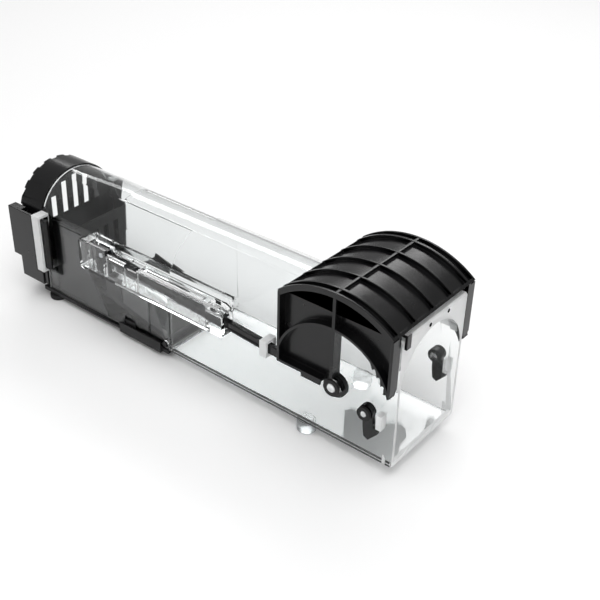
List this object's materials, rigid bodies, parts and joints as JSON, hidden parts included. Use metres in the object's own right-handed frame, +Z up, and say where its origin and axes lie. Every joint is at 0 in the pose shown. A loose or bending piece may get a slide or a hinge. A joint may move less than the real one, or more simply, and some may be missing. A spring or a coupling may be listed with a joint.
{
  "type": "live catch trap",
  "caption": "Clear arched tube trap with a ribbed drop hood over the entrance, a treadle and trigger rod that release it, locking pawls, and a draw-out slotted rear cap with a bait holder.",
  "frame": {"origin": "middle of the bounding box's bottom face with the hood open, on the surface that the feet stand on", "axes": "+X along the tube, from the rear cap towards the entrance; +Z up; -Y towards the side that carries the trigger rod and its housing"},
  "size_m": [0.3166, 0.082, 0.1099],
  "materials": {
    "clear_plastic": "clear moulded polystyrene, polished",
    "black_plastic": "black moulded ABS, glossy",
    "black_satin": "black moulded plastic, satin",
    "black_rubber": "soft black rubber, matte",
    "steel": "drawn wire pin"
  },
  "bodies": {
    "tube": {"clear_tube": "clear_plastic", "clear_floor": "clear_plastic", "base_tray": "black_satin", "foot_front_near": "clear_plastic", "foot_front_far": "clear_plastic", "foot_rear_near": "black_rubber", "foot_rear_far": "black_rubber", "hood_ring_near": "black_rubber", "hood_ring_far": "black_rubber", "pawl_ring_near": "black_rubber", "pawl_ring_far": "black_rubber", "treadle_pin": "black_plastic"},
    "hood": {"drop_hood": "black_plastic"},
    "treadle": {"treadle": "black_satin", "link_pin": "steel"},
    "rod": {"trigger_rod": "black_plastic"},
    "pawl_near": {"pawl_near": "black_plastic"},
    "pawl_far": {"pawl_far": "black_plastic"},
    "cap": {"rear_cap": "black_plastic", "bait_holder": "black_satin"},
    "clip_near": {"clip_near": "black_plastic"},
    "clip_far": {"clip_far": "black_plastic"}
  },
  "joints": [
    {"name": "hood_drop", "type": "hinge", "parent": "tube", "child": "hood", "pos_m": [0.1177, 0.001, 0.048], "axis": [0, 1, 0], "range_deg": [0, 90]},
    {"name": "treadle_press", "type": "hinge", "parent": "tube", "child": "treadle", "pos_m": [-0.0201, 0.001, 0.0107], "axis": [0, -1, 0], "range_deg": [0, 12]},
    {"name": "rod_draw", "type": "slide", "parent": "tube", "child": "rod", "axis": [-0.9976, 0, 0.0696], "range_m": [0, 0.0098]},
    {"name": "pawl_near_click", "type": "hinge", "parent": "tube", "child": "pawl_near", "pos_m": [0.14, -0.034, 0.0415], "axis": [0, 1, 0], "range_deg": [0, 20]},
    {"name": "pawl_far_click", "type": "hinge", "parent": "tube", "child": "pawl_far", "pos_m": [0.14, 0.036, 0.0415], "axis": [0, 1, 0], "range_deg": [0, 20]},
    {"name": "cap_slide", "type": "slide", "parent": "tube", "child": "cap", "axis": [-1, 0, 0], "range_m": [0, 0.04]},
    {"name": "clip_near_flex", "type": "hinge", "parent": "cap", "child": "clip_near", "pos_m": [-0.1498, -0.0367, 0.0475], "axis": [0, 0, 1], "range_deg": [0, 4], "stiffness_Nm_per_rad": 0.6},
    {"name": "clip_far_flex", "type": "hinge", "parent": "cap", "child": "clip_far", "pos_m": [-0.1498, 0.0387, 0.0475], "axis": [0, 0, -1], "range_deg": [0, 4], "stiffness_Nm_per_rad": 0.6}
  ],
  "couplings": [
    {"joint": "rod_draw", "follows": "treadle_press", "m_per_rad": 0.04679}
  ]
}
